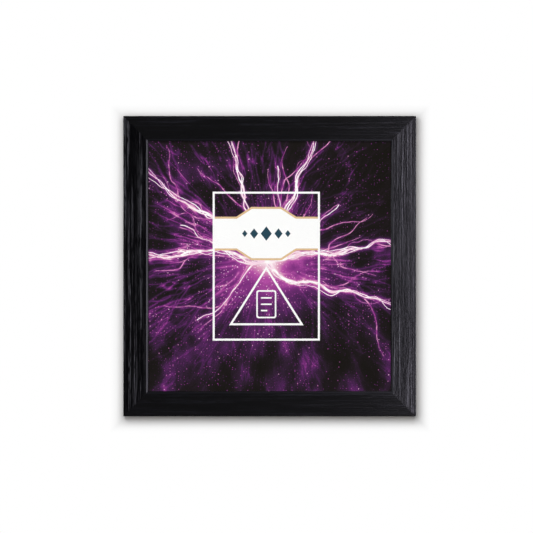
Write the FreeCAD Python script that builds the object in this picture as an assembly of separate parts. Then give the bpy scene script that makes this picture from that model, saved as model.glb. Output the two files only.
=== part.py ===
# A small wall frame that shows one trading card: a mitred black wood moulding around clear
# glazing, a printed card insert with a marked place for the card, and a back board held by points.
import FreeCAD, Part
import math
import os
from FreeCAD import Placement, Rotation, Vector

# Lengths are in millimetres. X runs across the frame, Z up, and the front faces -Y.
# The origin is the middle of the box round the whole frame, at its lower edge.

# The opening and the moulding round it
sight_width = 145.0
sight_height = 149.6
moulding_width = 15.0
moulding_depth = 18.0
lip_width = 4.2
lip_thickness = 4.0
arris_radius = 0.8
sight_bevel_width = 1.3
sight_bevel_depth = 1.1

# What lies in the rebate, from the front to the back
panel_clearance = 0.5
glazing_thickness = 2.0
glazing_clearance = 0.05
ink_thickness = 0.1
insert_thickness = 0.5
board_thickness = 2.5

# Flexible points that hold the back board
point_width = 7.0
point_thickness = 0.5
point_bite = 5.0
point_reach = 9.0
point_barb = 2.2
point_from_corner = 46.0

# V-shaped nails across each mitre, driven in from the back
v_nail_leg = 3.0
v_nail_thickness = 0.5
v_nail_length = 7.0
v_nail_margin = 1.1

# Sawtooth hanger on the back of the top rail, and its two pins
hanger_length = 45.0
hanger_height = 8.0
hanger_thickness = 0.8
hanger_raise = 2.0
hanger_ramp_angle = 45.0
hanger_tab_length = 8.5
hanger_corner_radius = 2.0
tooth_pitch = 2.0
tooth_depth = 1.3
tooth_count = 11
pin_radius = 0.7
pin_hole_clearance = 0.05
pin_length = 9.0
pin_point_length = 1.4
pin_head_radius = 1.6
pin_head_height = 0.7

# The marked place for the card, and where its middle lies from the middle of the opening
card_width = 63.0
card_height = 88.0
card_offset_x = -2.0
card_offset_z = 0.0
line_width = 1.2

# The label band across the card place
band_height = 20.2
band_rise = 19.5
band_edging = 1.2
plaque_height = 31.9
plaque_foot = 36.0
plaque_crown = 18.0
lozenge_half_widths = (3.3, 2.4, 1.6)
lozenge_proportion = 1.3
lozenge_gap = 1.6

# The sign under the band: a triangle round a small card with three lines
triangle_width = 44.7
triangle_height = 35.4
sign_card_width = 12.0
sign_card_height = 16.8
sign_card_radius = 1.4
sign_card_drop = 22.8
sign_line_width = 0.9
sign_bar_lengths = (6.4, 6.4, 3.8)
sign_bar_pitch = 3.8

# The printed flashes and the glow that they leave
glow_height = 3.0
glow_radius = 6.5
haze_radius = 50.0
haze_swing = 6.0
haze_lobes = (3, 5)
haze_points = 40
flash_count = 11
flash_sweep = 216.0
flash_jitter = 6.0
flash_lengths = (112.0, 58.0)
flash_root = 1.4
flash_tip_share = 0.25
flash_step = 7.5
flash_swing = 34.0
branch_root = 0.7
branch_shares = (0.3, 0.55)
branch_turn = 30.0
branch_length = 40.0
least_field_area = 1.0

# What follows from the sizes above
frame_width = sight_width + 2 * moulding_width
frame_height = sight_height + 2 * moulding_width
frame_depth = moulding_depth + hanger_raise + hanger_thickness
front_y = -frame_depth / 2
back_y = front_y + moulding_depth
glazing_y = front_y + lip_thickness
ink_y = glazing_y + glazing_thickness + glazing_clearance
insert_y = ink_y + ink_thickness
board_y = insert_y + insert_thickness
point_y = board_y + board_thickness
back_width = moulding_width - lip_width
panel_width = sight_width + 2 * (lip_width - panel_clearance)
panel_height = sight_height + 2 * (lip_width - panel_clearance)
middle_z = frame_height / 2
card_x = card_offset_x
card_z = middle_z + card_offset_z

# Each rail stands on its outer edge: where that edge's middle lies, and the turn about Y
rail_places = {
    "rail_bottom": (Vector(0, 0, 0), 0.0, frame_width),
    "rail_top": (Vector(0, 0, frame_height), 180.0, frame_width),
    "rail_left": (Vector(-frame_width / 2, 0, middle_z), 90.0, frame_height),
    "rail_right": (Vector(frame_width / 2, 0, middle_z), -90.0, frame_height),
}


def closed_face(points):
    """A flat face inside straight edges from point to point."""
    return Part.Face(Part.makePolygon(list(points) + [points[0]]))


def on_plane(y, pairs):
    """Points at depth y for pairs of x and z."""
    return [Vector(x, y, z) for x, z in pairs]


def place_on_rail(shape, rail):
    """Carries a shape from a rail's own frame to where that rail stands."""
    middle, turn, length = rail_places[rail]
    placed = shape.copy()
    placed.Placement = Placement(middle, Rotation(Vector(0, 1, 0), turn))
    return placed


def plate(width, height, y, thickness):
    """A flat sheet in the middle of the opening, with its front face at y."""
    corner = Vector(-width / 2, y, middle_z - height / 2)
    return Part.makeBox(width, thickness, height, corner)


def moulding(length):
    """One length of moulding along X, its outer edge on z = 0, with both ends mitred."""
    bevel_z = moulding_width - sight_bevel_width
    rebate_z = moulding_width - lip_width
    lip_y = front_y + lip_thickness
    start = -length / 2
    arc_turn = arris_radius * (1 - math.sqrt(0.5))
    outline = [
        Vector(start, front_y, arris_radius),
        Vector(start, front_y, bevel_z),
        Vector(start, front_y + sight_bevel_depth, moulding_width),
        Vector(start, lip_y, moulding_width),
        Vector(start, lip_y, rebate_z),
        Vector(start, back_y, rebate_z),
        Vector(start, back_y, 0),
        Vector(start, front_y + arris_radius, 0),
    ]
    edges = [Part.makeLine(a, b) for a, b in zip(outline, outline[1:])]
    arc_middle = Vector(start, front_y + arc_turn, arc_turn)
    edges.append(Part.Arc(outline[-1], arc_middle, outline[0]).toShape())
    bar = Part.Face(Part.Wire(edges)).extrude(Vector(length, 0, 0))
    half = length / 2
    inner = half - moulding_width
    corners = [(-half, 0), (half, 0), (inner, moulding_width), (-inner, moulding_width)]
    mitres = closed_face(on_plane(front_y, corners)).extrude(Vector(0, moulding_depth, 0))
    return bar.common(mitres)


def flexible_point(x):
    """A flat steel point in a rail's own frame: two barbs in the wood, a round tongue on the board."""
    half = point_width / 2
    tip = back_width - point_bite
    round_z = back_width + point_reach - half
    left, right = x - half, x + half
    corners = on_plane(
        point_y,
        [(left, round_z), (left, tip), (x, tip + point_barb), (right, tip), (right, round_z)],
    )
    edges = [Part.makeLine(a, b) for a, b in zip(corners, corners[1:])]
    crown = Vector(x, point_y, round_z + half)
    edges.append(Part.Arc(corners[-1], crown, corners[0]).toShape())
    return Part.Face(Part.Wire(edges)).extrude(Vector(0, point_thickness, 0))


def v_nail(corner_x, corner_z, inward_x, inward_z, offset):
    """A bent steel strip across a mitre: one leg in each rail, flush with the back."""
    thick, leg = v_nail_thickness, v_nail_leg
    shape = [(0, 0), (leg, 0), (leg, thick), (thick, thick), (thick, leg), (0, leg)]
    pairs = []
    for along, up in shape:
        pairs.append((corner_x + inward_x * (offset + along), corner_z + inward_z * (offset + up)))
    face = closed_face(on_plane(back_y - v_nail_length, pairs))
    return face.extrude(Vector(0, v_nail_length, 0))


def hanger_strip():
    """The bent section of the hanger, seen from above: two flat tabs and a bar raised between them."""
    half = hanger_length / 2
    ramp = math.radians(hanger_ramp_angle)
    foot = half - hanger_tab_length
    top = foot - hanger_raise / math.tan(ramp)
    shift = hanger_thickness * math.tan(ramp / 2)
    near, far = back_y, back_y + hanger_raise
    inner = [(half, near), (foot, near), (top, far)]
    outer = [(half, near), (foot + shift, near), (top + shift, far)]
    side_in = [(x, y) for x, y in inner]
    side_out = [(x, y + hanger_thickness) for x, y in reversed(outer)]
    loop = [(-x, y) for x, y in side_in] + side_in[::-1] + side_out[::-1]
    loop += [(-x, y) for x, y in side_out]
    points = [Vector(x, y, 0) for x, y in loop]
    return closed_face(points).extrude(Vector(0, 0, hanger_height))


def hanger_outline():
    """The cut-out form of the hanger, seen from behind: round tabs, and teeth under the raised bar."""
    half, radius = hanger_length / 2, hanger_corner_radius
    turn = radius * (1 - math.sqrt(0.5))
    high = hanger_height
    teeth = [Vector(-tooth_count * tooth_pitch / 2, back_y, 0)]
    for i in range(tooth_count):
        left = -tooth_count * tooth_pitch / 2 + i * tooth_pitch
        teeth.append(Vector(left + tooth_pitch / 2, back_y, tooth_depth))
        teeth.append(Vector(left + tooth_pitch, back_y, 0))
    points = [Vector(-half + radius, back_y, 0)] + teeth + [Vector(half - radius, back_y, 0)]
    edges = [Part.makeLine(a, b) for a, b in zip(points, points[1:])]
    round_ends = [
        ((half - radius, 0), (half - turn, turn), (half, radius)),
        ((half, high - radius), (half - turn, high - turn), (half - radius, high)),
        ((-half + radius, high), (-half + turn, high - turn), (-half, high - radius)),
        ((-half, radius), (-half + turn, turn), (-half + radius, 0)),
    ]
    last = None
    for three in round_ends:
        a, b, c = on_plane(back_y, three)
        if last is not None:
            edges.append(Part.makeLine(last, a))
        edges.append(Part.Arc(a, b, c).toShape())
        last = c
    return Part.Face(Part.Wire(Part.__sortEdges__(edges)))


def pin_places():
    """Where the two pins of the hanger go in, from left to right."""
    reach = (hanger_length - hanger_tab_length) / 2
    z = frame_height - back_width / 2
    return [Vector(x, back_y, z) for x in (-reach, reach)]


def hanger():
    """The sawtooth hanger on the back of the top rail, in the middle of its width."""
    depth = hanger_raise + hanger_thickness
    solid = hanger_strip().common(hanger_outline().extrude(Vector(0, depth, 0)))
    solid.translate(Vector(0, 0, frame_height - back_width / 2 - hanger_height / 2))
    for place in pin_places():
        hole_radius = pin_radius + pin_hole_clearance
        hole = Part.makeCylinder(hole_radius, hanger_thickness, place, Vector(0, 1, 0))
        solid = solid.cut(hole)
    return solid


def pin(place):
    """A round pin with a low domed head on the hanger's tab and its point in the wood."""
    head_y = hanger_thickness
    shank_end = pin_length - hanger_thickness
    neck = shank_end - pin_point_length
    profile = [
        Vector(0, -shank_end, 0),
        Vector(pin_radius, -neck, 0),
        Vector(pin_radius, head_y, 0),
        Vector(pin_head_radius, head_y, 0),
    ]
    edges = [Part.makeLine(a, b) for a, b in zip(profile, profile[1:])]
    crown = Vector(0, head_y + pin_head_height, 0)
    dome = (pin_head_radius**2 + pin_head_height**2) / (2 * pin_head_height)
    rise = dome - pin_head_height
    slant = math.atan2(rise, pin_head_radius)
    half_way = (slant + math.pi / 2) / 2
    on_dome = Vector(dome * math.cos(half_way), head_y + dome * math.sin(half_way) - rise, 0)
    edges.append(Part.Arc(profile[-1], on_dome, crown).toShape())
    edges.append(Part.makeLine(crown, profile[0]))
    turned = Part.Face(Part.Wire(edges)).revolve(Vector(0, 0, 0), Vector(0, 1, 0), 360)
    turned.translate(place)
    return turned


def field(pairs):
    """A flat field of ink, for pairs of x and z from the middle of the card place."""
    return closed_face(on_plane(ink_y, [(card_x + x, card_z + z) for x, z in pairs]))


def box_field(width, height, x=0.0, z=0.0):
    """A field with four straight sides, its middle at x and z."""
    w, h = width / 2, height / 2
    return field([(x - w, z - h), (x + w, z - h), (x + w, z + h), (x - w, z + h)])


def rounded_field(width, height, radius, z):
    """A field with four straight sides and round corners, its middle at x = 0 and z."""
    w, h = width / 2 - radius, height / 2 - radius
    turn = radius * math.sqrt(0.5)
    corners = [(w, -h, 1, -1), (w, h, 1, 1), (-w, h, -1, 1), (-w, -h, -1, -1)]
    edges, last, first = [], None, None
    for number, (x, up, right, over) in enumerate(corners):
        ways = [(0, over * radius), (right * turn, over * turn), (right * radius, 0)]
        if number % 2:
            ways.reverse()
        a, b, c = [Vector(card_x + x + i, ink_y, card_z + z + up + j) for i, j in ways]
        if last is not None:
            edges.append(Part.makeLine(last, a))
        first = first or a
        edges.append(Part.Arc(a, b, c).toShape())
        last = c
    edges.append(Part.makeLine(last, first))
    return Part.Face(Part.Wire(edges))


def ink(flat):
    """Ink of the named thickness on every face of a flat shape, left out where it is a mere speck."""
    kept = [face for face in flat.Faces if face.Area >= least_field_area]
    return Part.makeCompound([face.extrude(Vector(0, ink_thickness, 0)) for face in kept])


def band_field(inset):
    """The label band with its plaque, smaller all round by inset, past both sides of the card place."""
    slope = math.atan2((plaque_height - band_height) / 2, (plaque_foot - plaque_crown) / 2)
    narrower = inset * math.tan(slope / 2)
    side = card_width
    band, plaque = band_height / 2 - inset, plaque_height / 2 - inset
    foot, crown = plaque_foot / 2 - narrower, plaque_crown / 2 - narrower
    upper = [(side, band), (foot, band), (crown, plaque), (-crown, plaque), (-foot, band)]
    upper.append((-side, band))
    lower = [(x, -z) for x, z in reversed(upper)]
    return field([(x, z + band_rise) for x, z in upper + lower])


def lozenges_field():
    """A row of lozenges along the middle of the band, the largest in the middle."""
    spots, edge = [], 0.0
    for number, half in enumerate(lozenge_half_widths):
        x = edge + half if number else 0.0
        edge = x + half + lozenge_gap
        spots += [(x, half)] if number == 0 else [(x, half), (-x, half)]
    shapes = []
    for x, half in spots:
        high = half * lozenge_proportion
        ends = [(x - half, 0), (x, -high), (x + half, 0), (x, high)]
        shapes.append(field([(i, j + band_rise) for i, j in ends]))
    return shapes[0].fuse(shapes[1:])


def triangle_field(inset):
    """The triangle of the sign, smaller all round by inset, with its tip up."""
    half = triangle_width / 2
    side = math.hypot(half, triangle_height)
    tip = -inset * side / half
    foot = -triangle_height + inset
    wide = half * (foot - tip) / -triangle_height
    return field([(-wide, foot), (wide, foot), (0, tip)])


def white_lines_field():
    """The line round the card place, the triangle and the small card with its three lines."""
    round_card = box_field(card_width + line_width, card_height + line_width)
    round_card = round_card.cut(box_field(card_width - line_width, card_height - line_width))
    triangle = triangle_field(0).cut(triangle_field(line_width))
    hollow = 2 * sign_line_width
    sign_card = rounded_field(sign_card_width, sign_card_height, sign_card_radius, -sign_card_drop)
    sign_hole = rounded_field(
        sign_card_width - hollow,
        sign_card_height - hollow,
        sign_card_radius - sign_line_width / 2,
        -sign_card_drop,
    )
    bars = []
    for number, length in enumerate(sign_bar_lengths):
        x = (length - sign_bar_lengths[0]) / 2
        z = -sign_card_drop + sign_bar_pitch * (1 - number)
        bars.append(box_field(length, sign_line_width, x, z))
    return round_card.fuse([triangle, sign_card.cut(sign_hole)] + bars)


def pulse(seed):
    """A value from -1 to 1 that looks like chance and is the same each time."""
    return 2.0 * ((math.sin(seed * 12.9898) * 43758.5453) % 1.0) - 1.0


def walk(start, angle, length, seed):
    """Points of a flash: even steps, each with a heading that swings to one side or the other."""
    points = [start]
    for i in range(round(length / flash_step)):
        heading = angle + math.radians(flash_swing) * pulse(seed + i)
        x, z = points[-1]
        points.append((x + flash_step * math.cos(heading), z + flash_step * math.sin(heading)))
    return points


def flash_field(points, root):
    """A field along the points that narrows from its root to a point."""
    left, right = [], []
    last = len(points) - 1
    for i, (x, z) in enumerate(points[:-1]):
        before, after = points[max(i - 1, 0)], points[i + 1]
        along = math.atan2(after[1] - before[1], after[0] - before[0])
        half = root / 2 * (1 - (1 - flash_tip_share) * i / last)
        left.append((x - half * math.sin(along), z + half * math.cos(along)))
        right.append((x + half * math.sin(along), z - half * math.cos(along)))
    return field(left + [points[-1]] + right[::-1])


def lightning_field():
    """Flashes fanned out from one glow, each with two branches, inside the edges of the insert."""
    glow = Part.Circle(Vector(card_x, ink_y, card_z + glow_height), Vector(0, 1, 0), glow_radius)
    shapes = []
    for number in range(flash_count):
        turn = 90.0 + flash_sweep * (number / (flash_count - 1) - 0.5)
        angle = math.radians(turn + flash_jitter * pulse(number + 0.5))
        seed = 31 * number + 7
        main = walk((0.0, glow_height), angle, flash_lengths[number % len(flash_lengths)], seed)
        shapes.append(flash_field(main, flash_root))
        for share, side in zip(branch_shares, (1, -1)):
            fork = main[max(2, round(len(main) * share))]
            turned = angle + side * math.radians(branch_turn)
            branch = walk(fork, turned, branch_length, seed + 90 * share)
            shapes.append(flash_field(branch, branch_root))
    whole = Part.Face(Part.Wire(glow.toShape())).fuse(shapes).removeSplitter()
    return whole.common(box_field(panel_width, panel_height, -card_x, middle_z - card_z))


def haze_field():
    """The soft purple round the glow, as one field with a wavy edge."""
    pairs = []
    for i in range(haze_points):
        angle = 2 * math.pi * i / haze_points
        swing = math.sin(haze_lobes[0] * angle) + math.cos(haze_lobes[1] * angle)
        radius = haze_radius + haze_swing * swing / 2
        pairs.append((radius * math.cos(angle), glow_height + radius * math.sin(angle)))
    return field(pairs)


def printed_fields():
    """Every field of ink on the insert, none over another."""
    place = box_field(card_width - line_width, card_height - line_width)
    label = band_field(0).common(place)
    paper = band_field(band_edging).common(place)
    lozenges = lozenges_field()
    white = white_lines_field()
    flashes = lightning_field().cut([label, white])
    return {
        "print_white_lines": white,
        "print_label_band": paper.cut(lozenges),
        "print_label_edging": label.cut(paper),
        "print_label_lozenges": lozenges,
        "print_lightning": flashes,
        "print_haze": haze_field().cut([label, white, flashes]),
    }


def corner_nails():
    """Two V nails for each corner, by the corner's name."""
    inner = back_width - v_nail_margin - v_nail_leg
    nails = {}
    for high, z, up in (("bottom", 0, 1), ("top", frame_height, -1)):
        for side, x, right in (("left", -frame_width / 2, 1), ("right", frame_width / 2, -1)):
            for place, offset in (("outer", inner / 2), ("inner", inner)):
                nails[f"v_nail_{high}_{side}_{place}"] = v_nail(x, z, right, up, offset)
    return nails


def board_points():
    """Two flexible points for each rail, by the rail's name."""
    points = {}
    for rail, (middle, turn, length) in rail_places.items():
        reach = length / 2 - point_from_corner
        for number, x in enumerate((-reach, reach), start=1):
            name = rail.replace("rail", "board_point") + f"_{number}"
            points[name] = place_on_rail(flexible_point(x), rail)
    return points


def build():
    """Every piece of the frame by its name."""
    nails = corner_nails()
    points = board_points()
    pins = {f"hanger_pin_{s}": pin(p) for s, p in zip(("left", "right"), pin_places())}
    driven_in = list(nails.values()) + list(points.values()) + list(pins.values())
    pieces = {}
    for rail, (middle, turn, length) in rail_places.items():
        pieces[rail] = place_on_rail(moulding(length), rail).cut(driven_in)
    pieces["glazing"] = plate(panel_width, panel_height, glazing_y, glazing_thickness)
    pieces["printed_insert"] = plate(panel_width, panel_height, insert_y, insert_thickness)
    pieces["back_board"] = plate(panel_width, panel_height, board_y, board_thickness)
    pieces["sawtooth_hanger"] = hanger()
    for name, flat in printed_fields().items():
        pieces[name] = ink(flat)
    pieces.update(nails)
    pieces.update(points)
    pieces.update(pins)
    return pieces


os.makedirs("parts", exist_ok=True)
for name, shape in build().items():
    shape.exportStep(f"parts/{name}.step")
    print(f"{name}: {len(shape.Solids)} solid(s), {shape.Volume:.1f} mm3, valid {shape.isValid()}")
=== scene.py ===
# %% [markdown]
# A small wall frame for one trading card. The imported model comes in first, as a fixed frame: each rail, sheet
# and fastener already has its real size and place, and none of them is moved or reshaped here. What this
# lesson adds is how they look: black open-grained wood, clear glazing, a printed insert and plain steel. Only
# two fields of ink, the haze and the lightning, give way to finer ones in the same place.

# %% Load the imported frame
import math

import bmesh
import bpy
import numpy as np
from mathutils import Matrix, Vector


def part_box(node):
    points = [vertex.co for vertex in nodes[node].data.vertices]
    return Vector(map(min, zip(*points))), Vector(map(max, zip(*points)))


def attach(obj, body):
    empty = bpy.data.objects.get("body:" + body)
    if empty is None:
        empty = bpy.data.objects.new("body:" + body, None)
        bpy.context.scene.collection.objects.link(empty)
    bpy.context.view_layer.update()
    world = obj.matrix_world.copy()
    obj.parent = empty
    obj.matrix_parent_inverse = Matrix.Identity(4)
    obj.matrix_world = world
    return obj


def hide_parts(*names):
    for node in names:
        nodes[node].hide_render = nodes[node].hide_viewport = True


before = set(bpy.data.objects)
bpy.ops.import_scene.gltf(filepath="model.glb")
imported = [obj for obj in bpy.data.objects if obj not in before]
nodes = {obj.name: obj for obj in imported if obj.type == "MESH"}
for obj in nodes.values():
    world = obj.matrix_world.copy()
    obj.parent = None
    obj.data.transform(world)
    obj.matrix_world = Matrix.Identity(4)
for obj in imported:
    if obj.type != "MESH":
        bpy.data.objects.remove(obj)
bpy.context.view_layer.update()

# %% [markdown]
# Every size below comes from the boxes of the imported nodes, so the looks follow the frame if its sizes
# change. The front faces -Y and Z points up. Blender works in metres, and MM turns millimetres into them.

MM = 0.001
left_low, left_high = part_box("rail_left")
top_low, top_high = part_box("rail_top")
insert_low, insert_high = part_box("printed_insert")
glazing_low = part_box("glazing")[0]
lines_low, lines_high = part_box("print_white_lines")
hanger_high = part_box("sawtooth_hanger")[1]
front_y, back_y = left_low.y, left_high.y
frame_width, frame_height = top_high.x - top_low.x, left_high.z - left_low.z
rail_width = left_high.x - left_low.x
middle_z = (left_low.z + left_high.z) / 2
card_x, card_z = (lines_low.x + lines_high.x) / 2, (lines_low.z + lines_high.z) / 2
print(f"frame {frame_width / MM:.1f} x {frame_height / MM:.1f} mm, moulding {rail_width / MM:.1f} mm wide")

# %% [markdown]
# The camera looks straight at the frame, as the photograph does: both pairs of rails are parallel in it. The
# photograph is 533 pixels square. The places of the frame's edges in it give the scale and the middle of the
# view.

# %% Camera
PHOTO_SIDE = 533
EDGE_LEFT, EDGE_RIGHT = 123.3, 416.0
EDGE_TOP, EDGE_BOTTOM = 115.9, 416.4
CAMERA_DISTANCE = 4.0
SENSOR_WIDTH = 36.0

pixel = frame_width / (EDGE_RIGHT - EDGE_LEFT)
view_x = (PHOTO_SIDE / 2 - (EDGE_LEFT + EDGE_RIGHT) / 2) * pixel
view_z = middle_z - (PHOTO_SIDE / 2 - (EDGE_TOP + EDGE_BOTTOM) / 2) * pixel
camera_data = bpy.data.cameras.new("camera")
camera_data.sensor_width = SENSOR_WIDTH
camera_data.lens = SENSOR_WIDTH * CAMERA_DISTANCE / (PHOTO_SIDE * pixel)
camera = bpy.data.objects.new("camera", camera_data)
camera.location = (view_x, front_y - CAMERA_DISTANCE, view_z)
camera.rotation_euler = (math.radians(90), 0, 0)
bpy.context.scene.collection.objects.link(camera)
bpy.context.scene.camera = camera
print(f"one pixel is {pixel / MM:.3f} mm, the lens {camera_data.lens:.0f} mm")

# %% [markdown]
# Shader maths reads more easily as sums than as boxes and wires. A Socket wraps one output of a node, and the
# usual operators on it add Math nodes. A Finish is one material while it is made. Its node method adds any
# node: the settings come first, and then what the inputs hold, either plain values or other sockets.

# %% Sockets
class Socket:
    """One output of a node. The usual operators on it add Math nodes."""

    def __init__(self, finish, output):
        self.finish = finish
        self.output = output

    def out(self, name):
        """Another output of the same node."""
        return Socket(self.finish, self.output.node.outputs[name])

    def maths(self, operation, *values):
        return self.finish.node("ShaderNodeMath", {"operation": operation}, dict(enumerate(values)))

    def __add__(self, other):
        return self.maths("ADD", self, other)

    def __sub__(self, other):
        return self.maths("SUBTRACT", self, other)

    def __rsub__(self, other):
        return self.maths("SUBTRACT", other, self)

    def __mul__(self, other):
        return self.maths("MULTIPLY", self, other)

    def __truediv__(self, other):
        return self.maths("DIVIDE", self, other)

    def __pow__(self, other):
        return self.maths("POWER", self, other)

    def __abs__(self):
        return self.maths("ABSOLUTE", self)

    def greater(self, other):
        """The larger of two values."""
        return self.maths("MAXIMUM", self, other)

    __radd__ = __add__
    __rmul__ = __mul__


print("sockets can be added, multiplied and compared")

# %% [markdown]
# The Finish class follows. Besides its node method it has short names for the few nodes that most finishes
# here share: noise, a soft step, a ramp of colours, a mix of two colours and a bump.

# %% Finishes
class Finish:
    """A material while its nodes are added."""

    def __init__(self, name, world=False):
        made = bpy.data.worlds.new(name) if world else bpy.data.materials.new(name)
        made.use_nodes = True
        self.made = made
        self.tree = made.node_tree
        self.tree.nodes.clear()

    def node(self, kind, settings=None, inputs=None):
        """Any node: first its settings, then its inputs, by number or by the name that they show."""
        made = self.tree.nodes.new(kind)
        for name, value in (settings or {}).items():
            if name == "stops":
                self.spread(made.color_ramp, value)
            else:
                setattr(made, name, value)
        for name, value in (inputs or {}).items():
            if isinstance(name, int):
                socket = made.inputs[name]
            else:
                socket = next(s for s in made.inputs if s.name == name and s.enabled)
            if isinstance(value, Socket):
                self.tree.links.new(value.output, socket)
            else:
                socket.default_value = value
        return Socket(self, next((s for s in made.outputs if s.enabled), None))

    def spread(self, ramp, stops):
        """Gives a colour ramp its stops of place and colour."""
        while len(ramp.elements) < len(stops):
            ramp.elements.new(1.0)
        for element, (place, shade) in zip(ramp.elements, stops):
            element.position = place
            element.color = shade

    def place(self):
        """Object coordinates, which are the frame's own, in metres."""
        return self.node("ShaderNodeTexCoord").out("Object")

    def mapped(self, scale=(1, 1, 1), location=(0, 0, 0)):
        """Object coordinates that a Mapping node stretches and moves."""
        inputs = {"Vector": self.place(), "Location": location, "Scale": scale}
        return self.node("ShaderNodeMapping", {"vector_type": "POINT"}, inputs)

    def parts(self, vector):
        """The three numbers of a vector."""
        split = self.node("ShaderNodeSeparateXYZ", {}, {"Vector": vector})
        return split.out("X"), split.out("Y"), split.out("Z")

    def noise(self, vector, size, detail=2.0, roughness=0.5, distortion=0.0):
        """Noise with lumps of about the given size, from 0 to 1."""
        inputs = {"Vector": vector, "Scale": 1 / size, "Detail": detail}
        inputs |= {"Roughness": roughness, "Distortion": distortion}
        return self.node("ShaderNodeTexNoise", {}, inputs)

    def fade(self, value, start, end):
        """A soft step: 0 as far as start and 1 from end on."""
        inputs = {"Value": value, "From Min": start, "From Max": end}
        return self.node("ShaderNodeMapRange", {"interpolation_type": "SMOOTHSTEP"}, inputs)

    def ramp(self, value, stops):
        """A colour for each value, from stops of place and colour."""
        return self.node("ShaderNodeValToRGB", {"stops": stops}, {"Fac": value})

    def mix(self, factor, a, b):
        """Two colours, mixed."""
        settings = {"data_type": "RGBA", "clamp_factor": True}
        return self.node("ShaderNodeMix", settings, {"Factor": factor, "A": a, "B": b})

    def bump(self, height, distance):
        """A normal from heights between 0 and 1, with 1 the given distance above 0."""
        return self.node("ShaderNodeBump", {}, {"Height": height, "Distance": distance})

    def surface(self, **inputs):
        """A Principled shader on the output. An underscore in a name stands for a space."""
        named = {name.replace("_", " "): value for name, value in inputs.items()}
        return self.finished(self.node("ShaderNodeBsdfPrincipled", {}, named))

    def finished(self, shader):
        """The whole material, with this shader on its output."""
        self.node("ShaderNodeOutputMaterial", {}, {"Surface": shader})
        return self.made


print("finishes can be made")

# %% [markdown]
# Four small helpers serve the rest of the lesson. Colours are given as a screen shows them. A material is put
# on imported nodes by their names. New pieces are made from a bmesh, and the flat ones among them start as a
# grid that faces the front.

# %% Helpers
def colour(red, green, blue):
    """A colour as a screen shows it, from 0 to 255, as the linear one that shaders take."""
    shares = [part / 255 for part in (red, green, blue)]
    linear = [s / 12.92 if s <= 0.04045 else ((s + 0.055) / 1.055) ** 2.4 for s in shares]
    return (*linear, 1.0)


def dress(names, material):
    """Puts one material on each named node."""
    for name in names:
        nodes[name].data.materials.clear()
        nodes[name].data.materials.append(material)


def piece_from(bm, name):
    """A new object with the faces of a bmesh, which is used up."""
    mesh = bpy.data.meshes.new(name)
    bm.to_mesh(mesh)
    bm.free()
    return bpy.data.objects.new(name, mesh)


def front_grid(bm, middle, width, height, columns=1, rows=1):
    """Adds a flat grid that faces the front, round the given middle."""
    facing = Matrix.Rotation(math.radians(90), 4, "X")
    spread = Matrix.Diagonal((width, height, 1, 1))
    place = Matrix.Translation(middle) @ facing @ spread
    bmesh.ops.create_grid(bm, x_segments=columns, y_segments=rows, size=0.5, matrix=place)


print("helpers for colours, materials and new pieces")

# %% [markdown]
# The moulding is open-grained wood under thin black paint. The paint is thin on the raised grain and lies
# thick in the pores. Long noise makes that: Object coordinates squeezed along the rail draw each lump out
# into a streak. Broad bands, long streaks and short pores each have a stretch of their own. The same heights
# drive the colour, the roughness and the bump, so a raised streak is both greyer and duller.

# %% Wood grain
BAND_SIZE, BAND_STRETCH = 2.2 * MM, 60.0
STREAK_SIZE, STREAK_STRETCH, WAVER = 0.75 * MM, 60.0, 0.35
PORE_SIZE, PORE_STRETCH = 0.5 * MM, 12.0
STREAK_EDGE, BAND_EDGE, PORE_EDGE = (0.48, 0.62), (0.4, 0.6), (0.56, 0.36)
BAND_SHARE = 0.82


def grain(finish, upright):
    """Streaks and pores along a rail: how far each is raised or sunk, from 0 to 1."""

    def along(stretch, start):
        share = 1 / stretch
        return finish.mapped((1, 1, share) if upright else (share, 1, 1), (start, start, start))

    bands = finish.noise(along(BAND_STRETCH, 1), BAND_SIZE, detail=1.0)
    streaks = along(STREAK_STRETCH, 2)
    streaks = finish.noise(streaks, STREAK_SIZE, detail=2.0, roughness=0.55, distortion=WAVER)
    pores = finish.noise(along(PORE_STRETCH, 3), PORE_SIZE, detail=2.0, roughness=0.6)
    banded = 1 - BAND_SHARE + BAND_SHARE * finish.fade(bands, *BAND_EDGE)
    return finish.fade(streaks, *STREAK_EDGE) * banded, finish.fade(pores, *PORE_EDGE)


streak_length, pore_length = STREAK_SIZE * STREAK_STRETCH, PORE_SIZE * PORE_STRETCH
print(f"streaks {streak_length / MM:.0f} mm long, pores {pore_length / MM:.0f} mm")

# %% [markdown]
# Not all of a moulding is painted. Its back and its rebate are bare wood fibre. A mask finds them by the way
# each face looks and by how deep it lies. The mitres get a hair-thin dark joint where two rails meet at 45
# degrees. The narrow slope next to the glazing gets a painted highlight: its paint is made lighter to stand
# for the light that the slope catches, and it is a little rougher. The nose of that slope, the small round
# arris outside and the flat sides keep no polish, so they get masks of their own.

# %% Bare, painted and rubbed places of the moulding
REBATE_MARGIN = 0.5 * MM
LOOKS_BACK, LOOKS_ASIDE = (0.6, 0.8), (0.9, 0.97)
JOINT_WIDTH, JOINT_CORE = 0.16 * MM, 1 / 3
SLOPE_FROM, SLOPE_TO = 1.43 * MM, 1.17 * MM
NOSE_FROM, NOSE_TO = 0.5 * MM, 0.35 * MM
ARRIS_FROM, ARRIS_TO = 1.4 * MM, 1.0 * MM


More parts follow.
